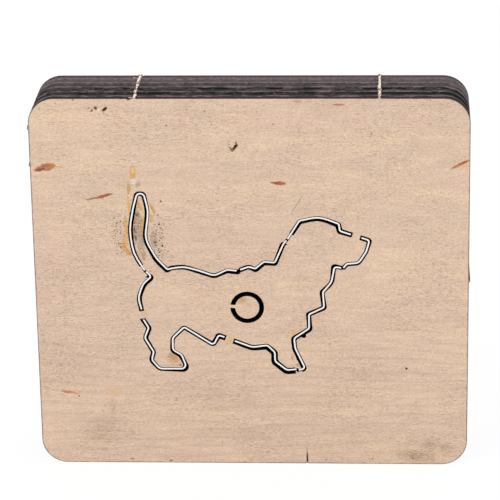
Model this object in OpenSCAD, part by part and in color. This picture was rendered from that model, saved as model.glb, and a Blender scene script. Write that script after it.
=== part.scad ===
// Steel rule die: a small plywood die board with bent cutting rule pressed into a burnt kerf.
// The board stands on its bottom edge. Its back, which lies on the press platen, faces -Y, and
// the cutting edge points along +Y. X runs along the board and Z is up. Sizes are millimetres.

/* [Die board] */
// Width of the board
board_w = 100; // [80:1:180]
// Height of the board
board_h = 90; // [72:1:180]
// Radius of the four corners
corner_r = 6; // [2:0.5:15]
// Thickness of each sanded face veneer
face_ply_t = 0.9; // [0.5:0.1:1.5]
// Thickness of each inner veneer
core_ply_t = 1.8; // [1:0.1:2.5]
// Number of inner veneers, an odd number
core_plies = 9; // [5:2:13]
// How far the cross-grain veneers burn back on the cut edges
cross_burn = 0.15; // [0.05:0.05:0.4]

/* [Holding tabs] */
// Width of the stub that is left where the board was snapped out of its sheet
tab_w = 1; // [0.5:0.1:3]
// How far a stub stands out of the edge
tab_proud = 0.3; // [0.1:0.05:0.8]

/* [Steel rule] */
// Thickness of the rule
rule_t = 0.45; // [0.4:0.01:1.1]
// Height of the rule from its back to its edge
rule_h = 23.8; // [20:0.1:32]
// How far the rule's back lies below the back of the board
rule_recess = 0.2; // [0:0.05:0.5]
// Included angle of the centre bevel
bevel_angle = 54; // [30:1:70]
// Flat that is left along the cutting edge
edge_flat = 0.06; // [0.02:0.01:0.2]

/* [Kerf] */
// Clearance of the slot on each side of the rule
slot_clearance = 0.03; // [0.01:0.01:0.1]
// Width of the burnt mouth of the kerf on the back
mouth_w = 1.05; // [0.6:0.05:2]
// Depth of the burnt mouth
mouth_depth = 4; // [1:0.5:8]
// How far the slot runs past each end of a rule
run_out = 0.4; // [0.25:0.05:1]
// How far the burnt mouth runs past a rule's end where two ends leave a hole
mouth_run_out = 0.15; // [0:0.05:0.2]
// Length of each bridge of uncut wood across the kerf
bridge_w = 2; // [1:0.25:6]
// Clearance of the rule's notch round a bridge
notch_clearance = 0.25; // [0.1:0.05:0.5]

/* [Knock-out disc] */
// Place of the disc, right of the board's middle
disc_x = -1; // [-20:0.25:20]
// Place of the disc, above the board's middle
disc_z = -5.5; // [-20:0.25:20]
// Diameter of the middle of its kerf
disc_d = 6.7; // [4:0.1:20]
// Width of its kerf
disc_kerf = 1.1; // [0.4:0.05:2]
// Width of the one bridge that holds it
disc_bridge = 0.75; // [0.3:0.05:2]
// Direction of that bridge from the disc's middle
disc_bridge_angle = 176; // [0:1:360]

/* [Ejection rubber] */
// Thickness of the rubber
pad_t = 7; // [4:0.5:12]
// Gap between the rubber and the rule
pad_gap = 1.2; // [0.6:0.1:3]
// Gap of the cuts between two blocks
pad_cut = 0.8; // [0.2:0.1:2]
// Bare margin along the board's edges
pad_margin = 5; // [2:0.5:15]

/* [Hidden] */
$fn = 72;
through = 1;
bend_step = 12;
board_t = 2 * face_ply_t + core_plies * core_ply_t;
back_y = -board_t / 2;
front_y = board_t / 2;
rule_back_y = back_y + rule_recess;
bevel_h = (rule_t - edge_flat) / 2 / tan(bevel_angle / 2);
bevel_y = rule_back_y + rule_h - bevel_h;
slot_w = rule_t + 2 * slot_clearance;
slot_bend = slot_w / 2 + 0.1;
burn_line = 0.4;
burn = (mouth_w - burn_line) / 2;

// Stubs by how far they lie from the end of a rounded corner: on the top edge from its left and
// its right end, and down the left edge from its top end. The right edge has one above the middle.
top_left_tab = 18.25;
top_right_tab = 14.5;
left_tabs = [1, 9.75];
right_tab = 1.25;

// Each rule is a list of corners: x and z from the board's middle, the radius that the rule is
// bent to there, how far the burnt mouth strays to the left of the rule, and how much wider each
// side of it is burnt.
tail_line = [
    [-24.5, 3.5, 0, 0, 0], [-27, 7.75, 9, -0.05, 0], [-27.75, 13.5, 12, -0.1, 0.05],
    [-26.75, 18.75, 8, -0.1, 0.05], [-25.75, 22.25, 0.9, 0.1, 0], [-24.25, 22.25, 0.9, 0, 0.05],
    [-23.25, 18, 8, -0.2, 0], [-24.25, 11.25, 6, -0.1, 0], [-21.75, 6.5, 8, -0.25, 0],
    [-19.25, 3.75, 0.6, -0.15, 0.05], [-18.5, 4, 3, 0.2, 0], [-15.5, 4.5, 6, 0.05, 0],
    [-12, 3.5, 8, -0.1, 0], [-8.5, 2.25, 2, -0.05, 0], [-5.5, 3.75, 1.5, -0.2, 0],
    [-3.25, 3.5, 0, -0.2, 0.05]
];
saddle_line = [
    [-2.5, 3.75, 0, 0, 0], [-0.5, 4.5, 1.5, 0.1, 0], [1, 4, 0.6, -0.2, 0.05],
    [3, 5.75, 1.2, -0.2, 0], [5.5, 5.5, 0.6, -0.15, 0], [7.5, 10, 2, 0.1, 0.05],
    [8.25, 11, 0, 0, 0]
];
head_line = [
    [8.5, 11.25, 0, -0.1, 0], [11.25, 15.75, 0.8, -0.2, 0], [15.75, 16.75, 6, -0.15, 0],
    [20.25, 15, 0.6, -0.2, 0.1], [20.5, 13.25, 0.6, 0, 0.1], [27.25, 11, 0.6, 0.05, 0],
    [26.5, 8.25, 3, 0, -0.1], [24.75, 5.5, 1.5, 0.05, -0.1], [22, 5.25, 0.8, 0.05, -0.1],
    [21.25, 4.25, 0, 0, 0]
];
chest_line = [
    [20.75, 4.25, 0, -0.1, 0], [19.2, 4.5, 0.6, -0.2, 0.1], [18.5, 0.75, 3, 0.15, 0],
    [16.5, -1.75, 0.6, -0.2, 0.05], [16.75, -5.5, 0.6, 0.05, 0.1], [13.25, -7.25, 0.6, -0.1, 0.1],
    [13.25, -10.75, 0.8, 0.2, 0.05], [9.75, -13.25, 0.9, -0.1, 0.05], [10, -15.75, 2.5, -0.15, 0],
    [12.25, -20.75, 0.6, -0.15, 0.05], [10.75, -21.25, 0, 0, 0]
];
belly_line = [
    [10.25, -21, 0, 0.2, 0.2], [8, -21.25, 1.5, 0.2, 0.2], [5.25, -19, 1.2, 0.1, 0.2],
    [5.25, -16.75, 1.2, 0.05, 0.2], [3.5, -15, 0.8, 0.25, 0.15], [0, -15.5, 3, 0.1, 0.1],
    [-7.75, -12.5, 0.6, 0, 0.1], [-9, -15, 0.7, -0.15, 0], [-15.75, -10.5, 0.6, 0, -0.05],
    [-18.5, -13.25, 1.5, 0, -0.1], [-18.5, -16.25, 1.2, -0.15, -0.05],
    [-16.5, -17.5, 1.5, -0.15, 0], [-15.25, -21, 1, 0.2, 0], [-21.75, -21, 1.5, 0, -0.1],
    [-23.5, -18.75, 1.2, 0.1, 0], [-23, -16.75, 0.9, 0, 0], [-25, -13.25, 1.2, -0.15, 0],
    [-24, -10.75, 0.8, -0.1, 0.05], [-25.25, -8.5, 0.8, 0.05, 0.05], [-25.5, -6.25, 1.5, 0, 0],
    [-26.25, -3.25, 4, -0.15, 0], [-25, 0.25, 4, -0.25, 0], [-23, 2, 0.6, -0.2, 0],
    [-24.25, 3.25, 0, 0.15, 0]
];

// A bridge: the corner before it on its rule, and the distance from that corner to its middle.
snout_bridge = [4, 3.9];
belly_bridge = [5, 5.6];
rump_bridge = [18, 1.1];

// A rule's line, its bridges, and how far the burnt mouth stays short of the rule's two ends.
rule_tail = [tail_line, [], 1.4, -mouth_run_out];
rule_saddle = [saddle_line, [], -mouth_run_out, 0.7];
rule_head = [head_line, [snout_bridge], 1.6, -mouth_run_out];
rule_chest = [chest_line, [], -mouth_run_out, 0.8];
rule_belly = [belly_line, [belly_bridge, rump_bridge], 0.3, 0.9];
rules = [rule_tail, rule_saddle, rule_head, rule_chest, rule_belly];

// Spots where the beam dwelt and burnt the mouth wider: x and z from the middle, and diameter.
burn_spots = [[12, -12.5, 1], [10.75, -18.25, 0.9], [-3, 3.25, 1]];

// A dimple that a round end left when it struck the back aslant: x and z from the middle, its
// diameter, the depth at its deep side, its tilt, and the direction of the deep side below +X.
dimple = [-3.5, 33.75, 1.9, 0.25, 8, 30];

// Gouges in the back: x from the middle, distance below the top edge, length, width, depth, slant.
gouges = [[-35, 2.5, 1, 0.55, 0.25, 50], [-32.5, 2.5, 1.4, 0.6, 0.3, 50]];

// A split that opens at the bottom edge: x of its end, its reach, its width and its depth.
split = [12.5, 3, 0.25, 0.6];

function place(corner) = [corner[0], corner[1]];
function unit(v) = v / norm(v);
function left_of(v) = [-v[1], v[0]];
function turned(v, angle) = [v[0] * cos(angle) - v[1] * sin(angle), v[0] * sin(angle) + v[1] * cos(angle)];
function backwards(list) = [for (i = [len(list) - 1:-1:0]) list[i]];
function heading(line, i) = unit(place(line[i + 1]) - place(line[i]));

// The room that a bend may take on the stretch between corners i and j.
function bend_room(line, i, j) =
    norm(place(line[j]) - place(line[i])) * (i == 0 || j == len(line) - 1 ? 0.9 : 0.48);

// The points of one bend: an arc that is tangent to the stretches before and after corner i.
function bend(line, i, radius) =
    let (
        before = heading(line, i - 1),
        after = heading(line, i),
        turn = atan2(cross(before, after), before * after),
        room = min(bend_room(line, i - 1, i), bend_room(line, i, i + 1)),
        reach = min(radius * tan(abs(turn) / 2), room),
        steps = max(1, ceil(abs(turn) / bend_step)),
        spoke = -left_of(before) * sign(turn) * reach / tan(abs(turn) / 2),
        centre = place(line[i]) - before * reach - spoke
    )
    [for (k = [0:steps]) centre + turned(spoke, turn * k / steps)];

// A rule's line with its bends, none of them tighter than the least radius.
function bent(line, least) = [
    for (i = [0:len(line) - 1])
        each i == 0 || i == len(line) - 1 ? [place(line[i])] : bend(line, i, max(line[i][2], least))
];

// A line with its first and last stretch made shorter, or longer where the amount is negative.
function trimmed(line, first, last) =
    let (n = len(line) - 1, a = heading(line, 0) * first, b = heading(line, n - 1) * last)
    [
        for (i = [0:n])
            let (shift = i == 0 ? a : i == n ? -b : [0, 0])
            [line[i][0] + shift[0], line[i][1] + shift[1], line[i][2], line[i][3], line[i][4]]
    ];

// The direction across a list of points at point i, scaled so that a side keeps its distance.
function across(points, i) =
    let (
        n = len(points) - 1,
        before = left_of(heading(points, max(i, 1) - 1)),
        after = left_of(heading(points, min(i, n - 1))),
        middle = unit(before + after)
    )
    middle / (middle * before);

function side(points, distance) = [
    for (i = [0:len(points) - 1]) points[i] + across(points, i) * distance
];
function ribbon(points, width) = concat(side(points, width / 2), backwards(side(points, -width / 2)));

// One edge of the line that the burnt mouth is drawn from: hand is 1 for its left, -1 for its right.
function burn_edge(line, hand) = [
    for (i = [0:len(line) - 1])
        let (
            stray = line[i][3] + hand * (burn_line / 2 + line[i][4]),
            p = place(line[i]) + across([for (c = line) place(c)], i) * stray
        )
        [p[0], p[1], line[i][2]]
];
function burnt(line) =
    concat(bent(burn_edge(line, 1), slot_bend), backwards(bent(burn_edge(line, -1), slot_bend)));

// The dog's closed outline, through all five rules.
outline = [for (rule = rules) each bent(rule[0], slot_bend)];

// Raises a flat shape, drawn as x and z from the board's middle, from y along +Y.
module raise(y, height) {
    translate([0, y + height, board_h / 2])
        rotate([90, 0, 0])
            linear_extrude(height)
                children();
}

module board_outline(inset = 0) {
    w = board_w - 2 * inset;
    h = board_h - 2 * inset;
    r = corner_r - inset;
    difference() {
        square([w, h], center = true);
        for (sx = [-1, 1], sz = [-1, 1])
            translate([sx * (w / 2 - r), sz * (h / 2 - r)])
                difference() {
                    translate([sx > 0 ? 0 : -r - through, sz > 0 ? 0 : -r - through])
                        square(r + through);
                    circle(r);
                }
    }
}

// The strips that the bridges of a rule keep, each as long as given.
module bridge_strips(rule, length, width) {
    for (bridge = rule[1]) {
        ahead = heading(rule[0], bridge[0]);
        middle = place(rule[0][bridge[0]]) + ahead * bridge[1];
        translate(middle)
            rotate(atan2(ahead[1], ahead[0]))
                square([length, width], center = true);
    }
}

module slot_shape(rule) {
    difference() {
        polygon(ribbon(bent(trimmed(rule[0], -run_out, -run_out), slot_bend), slot_w));
        bridge_strips(rule, bridge_w, 4 * mouth_w);
    }
}

module mouth_shape(rule) {
    difference() {
        offset(delta = burn)
            polygon(burnt(trimmed(rule[0], rule[2] + burn, rule[3] + burn)));
        bridge_strips(rule, bridge_w, 4 * mouth_w);
    }
}

module disc_shape() {
    translate([disc_x, disc_z])
        difference() {
            circle(d = disc_d + disc_kerf);
            circle(d = disc_d - disc_kerf);
            rotate(disc_bridge_angle)
                translate([0, -disc_bridge / 2])
                    square([disc_d, disc_bridge]);
        }
}

module plies() {
    raise(back_y, face_ply_t)
        board_outline();
    for (i = [0:core_plies - 1])
        raise(back_y + face_ply_t + i * core_ply_t, core_ply_t)
            board_outline(i % 2 == 1 ? cross_burn : 0);
    raise(front_y - face_ply_t, face_ply_t)
        board_outline();
}

// One stub of a holding tab: a low ridge right across the edge, standing on y = 0 of its shape.
module stub_shape() {
    polygon([
        [-tab_w / 2, -2 * cross_burn], [tab_w / 2, -2 * cross_burn], [tab_w / 2, 0],
        [tab_w / 4, tab_proud], [-tab_w / 4, tab_proud], [-tab_w / 2, 0]
    ]);
}

module stubs() {
    side_end = board_w / 2 - corner_r;
    raise(back_y, board_t) {
        for (x = [top_left_tab - side_end, side_end - top_right_tab])
            translate([x, board_h / 2])
                stub_shape();
        for (down = left_tabs)
            translate([-board_w / 2, board_h / 2 - corner_r - down])
                rotate(90)
                    stub_shape();
        translate([board_w / 2, right_tab])
            rotate(-90)
                stub_shape();
    }
}

// The radius of a round edge that leaves a mark of this width when it is pressed in this deep.
function tool_r(width, depth) = (width * width / 4 + depth * depth) / 2 / depth;

module dents() {
    sink = dimple[3] - dimple[2] / 2 * sin(dimple[4]);
    translate([dimple[0], back_y, board_h / 2 + dimple[1]])
        rotate([0, dimple[5], 0])
            rotate([0, 0, dimple[4]])
                rotate([90, 0, 0])
                    translate([0, 0, -sink])
                        cylinder(d = dimple[2], h = sink + through);
    for (g = gouges) {
        r = tool_r(g[3], g[4]);
        translate([g[0], back_y + g[4] - r, board_h - g[1]])
            rotate([0, g[5], 0])
                cylinder(r = r, h = g[2], center = true);
    }
    raise(back_y - through, split[3] + through)
        translate([split[0], -board_h / 2])
            polygon([[0, split[1]], [-split[2] / 2, -through], [split[2] / 2, -through]]);
}

module die_board() {
    color("burlywood")
        difference() {
            union() {
                plies();
                stubs();
            }
            for (rule = rules) {
                raise(back_y - through, board_t + 2 * through)
                    slot_shape(rule);
                raise(back_y - through, mouth_depth + through)
                    mouth_shape(rule);
            }
            for (spot = burn_spots)
                raise(back_y - through, mouth_depth + through)
                    translate(place(spot))
                        circle(d = spot[2]);
            raise(back_y - through, board_t + 2 * through)
                disc_shape();
            dents();
        }
}

// The two bevels of a rule, from their foot to the narrow flat of the cutting edge.
module bevel(points) {
    n = len(points);
    rows = [
        for (row = [[rule_t / 2, 0], [-rule_t / 2, 0], [edge_flat / 2, bevel_h], [-edge_flat / 2, bevel_h]])
            each [for (p = side(points, row[0])) [p[0], bevel_y + row[1], p[1] + board_h / 2]]
    ];
    faces = concat(
        [[0, n, 3 * n, 2 * n]],
        [[n - 1, 3 * n - 1, 4 * n - 1, 2 * n - 1]],
        [for (i = [0:n - 2]) [i, i + 1, n + i + 1, n + i]],
        [for (i = [0:n - 2]) [i, 2 * n + i, 2 * n + i + 1, i + 1]],
        [for (i = [0:n - 2]) [n + i, n + i + 1, 3 * n + i + 1, 3 * n + i]],
        [for (i = [0:n - 2]) [2 * n + i, 3 * n + i, 3 * n + i + 1, 2 * n + i + 1]]
    );
    polyhedron(rows, faces);
}

module steel_rule(rule) {
    points = bent(rule[0], slot_bend);
    color("silver")
        difference() {
            union() {
                raise(rule_back_y, bevel_y - rule_back_y)
                    polygon(ribbon(points, rule_t));
                bevel(points);
            }
            raise(rule_back_y - through, front_y + notch_clearance - rule_back_y + through)
                bridge_strips(rule, bridge_w + 2 * notch_clearance, 4 * rule_t);
        }
}

module rule_tail_back() {
    steel_rule(rule_tail);
}

module rule_saddle_neck() {
    steel_rule(rule_saddle);
}

module rule_head_muzzle() {
    steel_rule(rule_head);
}

module rule_chest_foreleg() {
    steel_rule(rule_chest);
}

module rule_belly_hind() {
    steel_rule(rule_belly);
}

// One block's window, from its low corner to its high corner, less half of each cut.
module window(low, high) {
    intersection() {
        translate(low + [pad_cut / 2, pad_cut / 2])
            square(high - low - [pad_cut, pad_cut]);
        board_outline(pad_margin);
    }
}

module pad_inside(low, high) {
    color("darkseagreen")
        raise(front_y, pad_t)
            intersection() {
                window(low, high);
                offset(delta = -pad_gap - rule_t / 2)
                    polygon(outline);
            }
}

module pad_outside(low, high) {
    color("darkseagreen")
        raise(front_y, pad_t)
            difference() {
                window(low, high);
                offset(delta = pad_gap + rule_t / 2)
                    polygon(outline);
            }
}

module pad_hindquarter() {
    pad_inside([-26, -20], [-9, 3]);
}

module pad_trunk() {
    pad_inside([-9, -18], [9, 8]);
}

module pad_head() {
    pad_inside([9, -13], [28, 18]);
}

module pad_tail_side() {
    pad_outside([-45, 0], [-24, 30]);
}

module pad_rump_side() {
    pad_outside([-45, -26], [-19, 0]);
}

module pad_back() {
    pad_outside([-23, 2], [10, 30]);
}

module pad_crown() {
    pad_outside([10, 12], [45, 30]);
}

module pad_muzzle() {
    pad_outside([18, -7], [45, 12]);
}

module pad_chest() {
    pad_outside([10, -26], [45, -7]);
}

module pad_belly() {
    pad_outside([-19, -26], [9, -12]);
}

module pad_feet() {
    pad_outside([-45, -38], [45, -26]);
}

die_board();
rule_tail_back();
rule_saddle_neck();
rule_head_muzzle();
rule_chest_foreleg();
rule_belly_hind();
pad_hindquarter();
pad_trunk();
pad_head();
pad_tail_side();
pad_rump_side();
pad_back();
pad_crown();
pad_muzzle();
pad_chest();
pad_belly();
pad_feet();
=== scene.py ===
"""The looks of a steel rule die: a plywood die board, bent cutting rule and ejection rubber.

Everything is in metres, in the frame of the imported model. The board stands on its bottom edge,
its back faces -Y and the cutting edge points along +Y. Marks on the board are given in
millimetres from the middle of its back: x to the right and z up.
"""

from __future__ import annotations

import logging
import math
import random
from dataclasses import dataclass, field
from enum import Enum
from typing import Any, Iterable, Mapping, Sequence, Union

import bmesh
import bpy
from mathutils import Matrix, Vector, noise


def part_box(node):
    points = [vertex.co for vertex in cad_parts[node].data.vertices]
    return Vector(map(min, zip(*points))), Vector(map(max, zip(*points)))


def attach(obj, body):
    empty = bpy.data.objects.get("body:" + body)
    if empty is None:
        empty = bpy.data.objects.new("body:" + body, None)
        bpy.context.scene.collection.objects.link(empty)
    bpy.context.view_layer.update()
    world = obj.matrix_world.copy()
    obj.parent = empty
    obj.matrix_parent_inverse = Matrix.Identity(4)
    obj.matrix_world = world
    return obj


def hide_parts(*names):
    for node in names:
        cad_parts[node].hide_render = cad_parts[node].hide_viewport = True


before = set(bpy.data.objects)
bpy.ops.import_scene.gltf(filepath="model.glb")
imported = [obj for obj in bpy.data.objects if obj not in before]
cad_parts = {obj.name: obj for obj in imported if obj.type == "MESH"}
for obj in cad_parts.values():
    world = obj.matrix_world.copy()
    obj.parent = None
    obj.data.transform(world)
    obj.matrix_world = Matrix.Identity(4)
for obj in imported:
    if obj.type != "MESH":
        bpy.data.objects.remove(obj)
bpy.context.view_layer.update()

LOG = logging.getLogger("steel_rule_die")
MM = 0.001
BODY = "root"
Pair = tuple[float, float]
Triple = tuple[float, float, float]
Colour = tuple[float, float, float, float]
Socket = bpy.types.NodeSocket
Tree = bpy.types.NodeTree


def paint(red: int, green: int, blue: int) -> Colour:
    """Turns a colour as it is seen on a screen into the shader's linear colour.

    Args:
        red: Red, from 0 to 255.
        green: Green, from 0 to 255.
        blue: Blue, from 0 to 255.

    Returns:
        The linear colour with full alpha.
    """

    def linear(level: int) -> float:
        """Undoes the screen's curve for one channel."""
        c = level / 255
        return c / 12.92 if c <= 0.04045 else ((c + 0.055) / 1.055) ** 2.4

    return linear(red), linear(green), linear(blue), 1.0


class Edge(Enum):
    """An edge of the board with torn stubs of holding tabs, by the direction it faces."""

    TOP = (0.0, 1.0)
    LEFT = (-1.0, 0.0)


class Value:
    """A number that changes over a surface; arithmetic on it adds Math nodes."""

    def __init__(self, bench: Bench, socket: Socket) -> None:
        """Wraps one output socket of a bench."""
        self.bench = bench
        self.socket = socket

    def _math(self, operation: str, *terms: Number, clamp: bool = False) -> Value:
        """Adds one Math node.

        Args:
            operation: The node's operation.
            terms: Its inputs, in order.
            clamp: Whether the result stays between 0 and 1.

        Returns:
            The node's result.
        """
        settings = {"operation": operation, "use_clamp": clamp}
        node = self.bench.node("ShaderNodeMath", settings, dict(enumerate(terms)))
        return Value(self.bench, node.outputs[0])

    def __add__(self, other: Number) -> Value:
        """Adds."""
        return self._math("ADD", self, other)

    __radd__ = __add__

    def __sub__(self, other: Number) -> Value:
        """Subtracts."""
        return self._math("SUBTRACT", self, other)

    def __rsub__(self, other: Number) -> Value:
        """Subtracts this from a number."""
        return self._math("SUBTRACT", other, self)

    def __mul__(self, other: Number) -> Value:
        """Multiplies."""
        return self._math("MULTIPLY", self, other)

    __rmul__ = __mul__

    def __truediv__(self, other: Number) -> Value:
        """Divides."""
        return self._math("DIVIDE", self, other)

    def __mod__(self, other: Number) -> Value:
        """Takes the remainder, which is never negative."""
        return self._math("FLOORED_MODULO", self, other)

    def __abs__(self) -> Value:
        """Drops the sign."""
        return self._math("ABSOLUTE", self)

    def __pow__(self, other: Number) -> Value:
        """Raises to a power."""
        return self._math("POWER", self, other)

    def __lt__(self, other: Number) -> Value:
        """Is 1 where this is less."""
        return self._math("LESS_THAN", self, other)

    def __gt__(self, other: Number) -> Value:
        """Is 1 where this is greater."""
        return self._math("GREATER_THAN", self, other)

    def least(self, other: Number) -> Value:
        """Takes the smaller of the two."""
        return self._math("MINIMUM", self, other)

    def most(self, other: Number) -> Value:
        """Takes the larger of the two."""
        return self._math("MAXIMUM", self, other)

    def clipped(self) -> Value:
        """Keeps the value between 0 and 1."""
        return self._math("ADD", self, 0.0, clamp=True)

    def rise(self, low: float, high: float) -> Value:
        """Rises smoothly from 0 at low to 1 at high.

        Args:
            low: The value that gives 0.
            high: The value that gives 1, which may be the smaller one.

        Returns:
            The eased value.
        """
        node = self.bench.node(
            "ShaderNodeMapRange",
            {"interpolation_type": "SMOOTHSTEP"},
            {"Value": self, "From Min": min(low, high), "From Max": max(low, high)},
        )
        eased = Value(self.bench, node.outputs[0])
        return eased if low < high else 1 - eased


Number = Union[Value, float, int]
Feed = Union[Value, Socket, float, Sequence[float]]
Settings = Mapping[str, Any]
Inputs = Mapping[Union[str, int], Feed]


def plug(tree: Tree, socket: Socket, value: Feed) -> None:
    """Links a socket or sets its value.

    Args:
        tree: The tree that it is in.
        socket: The input.
        value: A value or socket to link, or a constant.
    """
    source = value.socket if isinstance(value, Value) else value
    if isinstance(source, Socket):
        tree.links.new(source, socket)
    else:
        socket.default_value = source


def add_node(
    tree: Tree, kind: str, settings: Settings | None = None, inputs: Inputs | None = None
) -> bpy.types.Node:
    """Adds a node to a tree.

    Args:
        tree: The tree.
        kind: The node's type.
        settings: Its own settings; "stops" are a ramp's places and colours.
        inputs: Values or links of its sockets, by name or number.

    Returns:
        The node.
    """
    node = tree.nodes.new(kind)
    for name, value in (settings or {}).items():
        if name == "stops":
            stops = node.color_ramp.elements
            while len(stops) < len(value):
                stops.new(0.5)
            for stop, (at, colour) in zip(stops, value):
                stop.position, stop.color = at, colour
        else:
            setattr(node, name, value)
    for key, value in (inputs or {}).items():
        plug(tree, node.inputs[key], value)
    return node


class Bench:
    """The nodes of one material, with its shader and output in place."""

    def __init__(self, name: str) -> None:
        """Starts a material.

        Args:
            name: The material's name.
        """
        self.material = bpy.data.materials.new(name)
        self.material.use_nodes = True
        self.tree = self.material.node_tree
        self.tree.nodes.clear()
        self.shader = self.node("ShaderNodeBsdfPrincipled")
        self.node("ShaderNodeOutputMaterial", inputs={"Surface": self.shader.outputs[0]})
        where = self.node("ShaderNodeTexCoord").outputs["Object"]
        middle = (0.0, 0.0, -BOARD.height / 2)
        self.place = self.vector("MULTIPLY_ADD", where, (1 / MM,) * 3, middle).outputs[0]

    def node(
        self, kind: str, settings: Settings | None = None, inputs: Inputs | None = None
    ) -> bpy.types.Node:
        """Adds a node to the material; see add_node."""
        return add_node(self.tree, kind, settings, inputs)

    def vector(self, operation: str, *terms: Feed) -> bpy.types.Node:
        """Adds one Vector Math node."""
        return self.node("ShaderNodeVectorMath", {"operation": operation}, dict(enumerate(terms)))

    def parts(self, vector: Socket) -> tuple[Value, ...]:
        """Splits a vector into its x, y and z."""
        split = self.node("ShaderNodeSeparateXYZ", inputs={0: vector})
        return tuple(Value(self, out) for out in split.outputs)

    def facing(self) -> tuple[Value, ...]:
        """The surface's own direction, as x, y and z."""
        return self.parts(self.node("ShaderNodeNewGeometry").outputs["Normal"])

    def mapped(self, scale: Triple, shift: Triple = (0, 0, 0)) -> Socket:
        """Stretches the place in millimetres for a pattern.

        Args:
            scale: Cycles per millimetre along x, y and z.
            shift: An offset that makes one pattern differ from another.

        Returns:
            The stretched place.
        """
        node = self.node(
            "ShaderNodeMapping",
            {"vector_type": "POINT"},
            {"Vector": self.place, "Location": shift, "Scale": scale},
        )
        return node.outputs[0]

    def noise(
        self,
        scale: Triple,
        detail: float = 2.0,
        rough: float = 0.5,
        warp: float = 0.0,
        shift: Triple = (0, 0, 0),
    ) -> Value:
        """A soft random pattern.

        Args:
            scale: Cycles per millimetre along x, y and z.
            detail: How many finer layers it has.
            rough: How strong the finer layers are.
            warp: How far it is stirred.
            shift: An offset that makes one pattern differ from another.

        Returns:
            A value about 0.5.
        """
        node = self.node(
            "ShaderNodeTexNoise",
            inputs={
                "Vector": self.mapped(scale, shift),
                "Scale": 1.0,
                "Detail": detail,
                "Roughness": rough,
                "Distortion": warp,
            },
        )
        return Value(self, node.outputs[0])

    def cells(self, scale: Triple, shift: Triple = (0, 0, 0)) -> Value:
        """The distance to the nearest of many scattered points.

        Args:
            scale: Cells per millimetre along x, y and z.
            shift: An offset that makes one pattern differ from another.

        Returns:
            0 at a cell's middle, and about 0.7 at its rim.
        """
        inputs = {"Vector": self.mapped(scale, shift), "Scale": 1.0}
        node = self.node("ShaderNodeTexVoronoi", {"feature": "F1"}, inputs)
        return Value(self, node.outputs[0])

    def mix(self, under: Feed, over: Feed, share: Feed) -> Socket:
        """Lays one colour over another, by a share from 0 to 1."""
        settings = {"data_type": "RGBA", "blend_type": "MIX", "clamp_factor": True}
        return self.node("ShaderNodeMix", settings, {0: share, 6: under, 7: over}).outputs[2]

    def shaded(self, colour: Socket, level: Value) -> Socket:
        """Multiplies a colour by a level that makes it lighter or darker."""
        inputs = {0: colour, "Scale": level}
        return self.node("ShaderNodeVectorMath", {"operation": "SCALE"}, inputs).outputs[0]

    def ramp(self, value: Value, stops: Sequence[tuple[float, Colour]]) -> Socket:
        """Turns a value into a colour, by the colours at stops from 0 to 1."""
        return self.node("ShaderNodeValToRGB", {"stops": stops}, {0: value}).outputs[0]

    def brush(self, brush: Brush, source: Socket) -> Socket:
        """Turns and squeezes the place, so that a brush's oval becomes a circle.

        Args:
            brush: The brush.
            source: The place, plain or ragged.

        Returns:
            The brush's own place.
        """
        node = self.node(
            "ShaderNodeMapping",
            {"vector_type": "TEXTURE"},
            {
                "Vector": source,
                "Rotation": (0.0, -math.radians(brush.turn), 0.0),
                "Scale": (brush.aspect, FAR, 1.0),
            },
        )
        return node.outputs[0]

    def dab(self, mark: Mark, place: Socket) -> Value:
        """One oval patch on the board's back or front.

        Args:
            mark: Its place, size and strength.
            place: The place as its brush has it.

        Returns:
            The mark's share inside, fading to 0 at its rim.
        """
        turn = math.radians(mark.brush.turn)
        along = mark.at[0] * math.cos(turn) + mark.at[1] * math.sin(turn)
        across = mark.at[1] * math.cos(turn) - mark.at[0] * math.sin(turn)
        middle = (along / mark.brush.aspect, 0.0, across)
        away = self.vector("DISTANCE", place, middle)
        fade = self.node(
            "ShaderNodeMapRange",
            {"interpolation_type": "SMOOTHSTEP"},
            {
                "Value": away.outputs["Value"],
                "From Min": mark.size * (1.0 - mark.soft),
                "From Max": mark.size,
                "To Min": mark.share,
                "To Max": 0.0,
            },
        )
        return Value(self, fade.outputs[0])

    def bump(self, height: Value, distance: float, strength: float = 1.0) -> None:
        """Feeds the shader's normal.

        Args:
            height: The height of the relief.
            distance: What a height of 1 stands for, in metres.
            strength: How much of it shows.
        """
        node = self.node(
            "ShaderNodeBump", inputs={"Height": height, "Distance": distance, "Strength": strength}
        )
        plug(self.tree, self.shader.inputs["Normal"], node.outputs[0])

    def finish(self, **sockets: Feed) -> bpy.types.Material:
        """Feeds the shader's sockets.

        Args:
            sockets: Values by socket name, with _ for a space.

        Returns:
            The finished material.
        """
        for name, value in sockets.items():
            plug(self.tree, self.shader.inputs[name.replace("_", " ")], value)
        return self.material


@dataclass(frozen=True)
class BoardSizes:
    """The board's sizes in millimetres, as the part has them."""

    width: float = 100.0
    height: float = 90.0
    thickness: float = 18.0
    corner: float = 6.0
    face_ply: float = 0.9
    core_ply: float = 1.8
    core_plies: int = 9
    stub: float = 1.0
    stub_proud: float = 0.3


BOARD = BoardSizes()
FAR = 1000.0
SHARP = math.radians(50.0)
CREASE = math.radians(30.0)


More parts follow.
